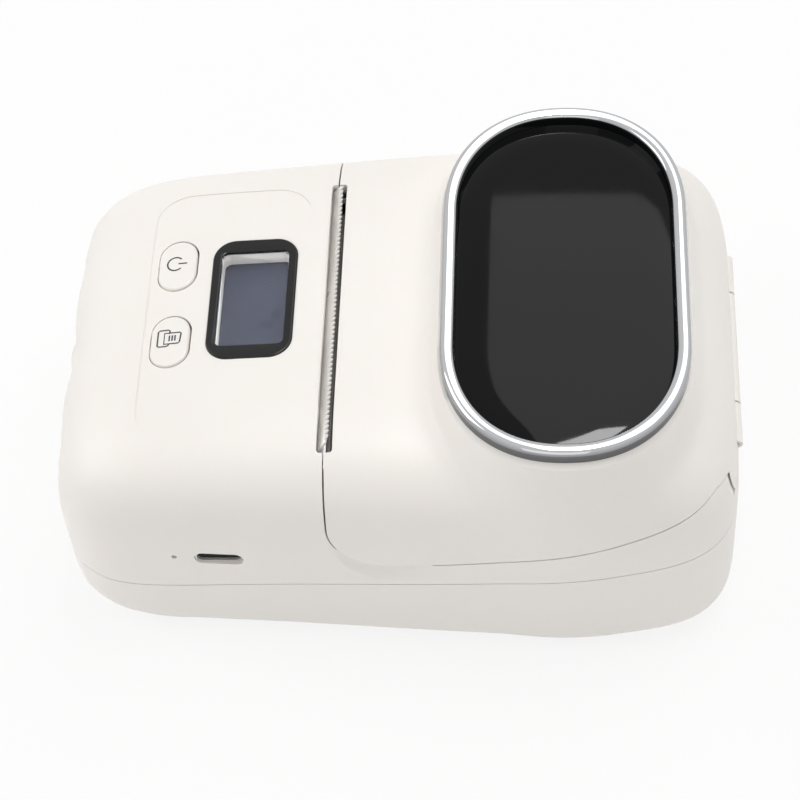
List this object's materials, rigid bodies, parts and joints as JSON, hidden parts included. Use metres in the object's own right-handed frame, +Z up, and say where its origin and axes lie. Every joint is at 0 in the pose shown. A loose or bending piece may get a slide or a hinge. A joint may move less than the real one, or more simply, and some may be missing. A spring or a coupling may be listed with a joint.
{
  "type": "portable label printer",
  "caption": "Portable label printer: soft white body, hinged rear cover with an oblong black lens in a chrome ring, tear slot, small display and two buttons.",
  "frame": {"origin": "centre of the footprint at the level the feet stand on", "axes": "+Z up, -Y towards the front edge with the buttons, +X towards the side with the socket"},
  "size_m": [0.0842, 0.1186, 0.0537],
  "materials": {
    "shell_white": "satin",
    "lens_black": "gloss",
    "ring_chrome": "polished",
    "bezel_black": "gloss",
    "pane_clear": "clear",
    "display_grey": "satin",
    "button_white": "satin",
    "inner_grey": "matte",
    "guide_grey": "matte",
    "gear_white": "matte",
    "steel": "brushed",
    "blade_steel": "brushed",
    "sheet_steel": "zinc plated",
    "sink_aluminium": "anodised",
    "head_ceramic": "glazed",
    "rubber_black": "matte",
    "platen_rubber": "ground",
    "board_green": "solder mask",
    "chip_black": "matte",
    "battery_foil": "satin foil",
    "flex_amber": "satin",
    "socket_steel": "plated",
    "bushing_plastic": "matte"
  },
  "bodies": {
    "housing": {"lower_case": "shell_white", "upper_case": "shell_white", "display_bezel": "bezel_black", "display_pane": "pane_clear", "display_module": "display_grey", "display_flex": "flex_amber", "tact_switches": "chip_black", "key_board": "board_green", "key_board_screws": "steel", "main_board": "board_green", "board_chips": "chip_black", "board_screws": "steel", "frame_screws": "steel", "tray_screws": "steel", "case_screws": "steel", "rubber_feet": "rubber_black", "battery": "battery_foil", "battery_lead": "rubber_black", "usb_socket": "socket_steel", "reset_switch": "chip_black", "tear_bar": "blade_steel", "print_frame": "sheet_steel", "head_pivot_pin": "steel", "head_springs": "steel", "motor": "sheet_steel", "gear_axles": "steel", "hinge_pin": "steel", "roll_tray": "inner_grey", "guide_axle": "steel", "label_sensor": "chip_black"},
    "cover_assembly": {"cover": "shell_white", "lens_ring": "ring_chrome", "lens": "lens_black", "cover_frame": "inner_grey", "cover_screws": "steel", "platen_bushings": "bushing_plastic"},
    "platen": {"platen_roller": "platen_rubber", "platen_shaft": "steel", "platen_gear": "gear_white"},
    "first_idler_gear": {"first_idler": "gear_white"},
    "second_idler_gear": {"second_idler": "gear_white"},
    "pinion_gear": {"motor_pinion": "gear_white"},
    "head": {"print_head": "head_ceramic", "head_heatsink": "sink_aluminium"},
    "power_key": {"power_button": "button_white", "power_plunger": "chip_black"},
    "feed_key": {"feed_button": "button_white", "feed_plunger": "chip_black"},
    "left_guide": {"roll_guide_left": "guide_grey"},
    "right_guide": {"roll_guide_right": "guide_grey"},
    "guide_gear": {"guide_pinion": "gear_white"}
  },
  "joints": [
    {"name": "cover_hinge", "type": "hinge", "parent": "housing", "child": "cover_assembly", "pos_m": [0, 0.0582, 0.031], "axis": [-1, 0, 0], "range_deg": [0, 100]},
    {"name": "platen_spin", "type": "hinge", "parent": "cover_assembly", "child": "platen", "pos_m": [0, -0.005, 0.0335], "axis": [1, 0, 0], "continuous": true},
    {"name": "first_idler_spin", "type": "hinge", "parent": "housing", "child": "first_idler_gear", "pos_m": [0, -0.005, 0.0235], "axis": [1, 0, 0], "continuous": true},
    {"name": "second_idler_spin", "type": "hinge", "parent": "housing", "child": "second_idler_gear", "pos_m": [0, -0.01869, 0.02641], "axis": [1, 0, 0], "continuous": true},
    {"name": "pinion_spin", "type": "hinge", "parent": "housing", "child": "pinion_gear", "pos_m": [0, -0.02849, 0.03141], "axis": [1, 0, 0], "continuous": true},
    {"name": "head_swing", "type": "hinge", "parent": "housing", "child": "head", "pos_m": [0, -0.0123, 0.0272], "axis": [1, 0, 0], "range_deg": [0, 2], "stiffness_Nm_per_rad": 2, "springref_deg": -1.15},
    {"name": "power_press", "type": "slide", "parent": "housing", "child": "power_key", "axis": [0, 0.0623, -0.9981], "range_m": [0, 0.0005], "stiffness_N_per_m": 400},
    {"name": "feed_press", "type": "slide", "parent": "housing", "child": "feed_key", "axis": [0, 0.0623, -0.9981], "range_m": [0, 0.0005], "stiffness_N_per_m": 400},
    {"name": "left_guide_slide", "type": "slide", "parent": "housing", "child": "left_guide", "axis": [1, 0, 0], "range_m": [-0.0015, 0.015]},
    {"name": "right_guide_slide", "type": "slide", "parent": "housing", "child": "right_guide", "axis": [-1, 0, 0], "range_m": [-0.0015, 0.015]},
    {"name": "guide_gear_spin", "type": "hinge", "parent": "housing", "child": "guide_gear", "pos_m": [0.0015, 0.0135, 0.0049], "axis": [0, 0, 1], "range_deg": [-20.5, 204.7]}
  ],
  "couplings": [
    {"joint": "first_idler_spin", "follows": "platen_spin", "ratio": -0.66667},
    {"joint": "second_idler_spin", "follows": "platen_spin", "ratio": 0.5},
    {"joint": "pinion_spin", "follows": "platen_spin", "ratio": -1.3333},
    {"joint": "right_guide_slide", "follows": "left_guide_slide", "ratio": 1},
    {"joint": "guide_gear_spin", "follows": "left_guide_slide", "rad_per_m": 238.1}
  ]
}
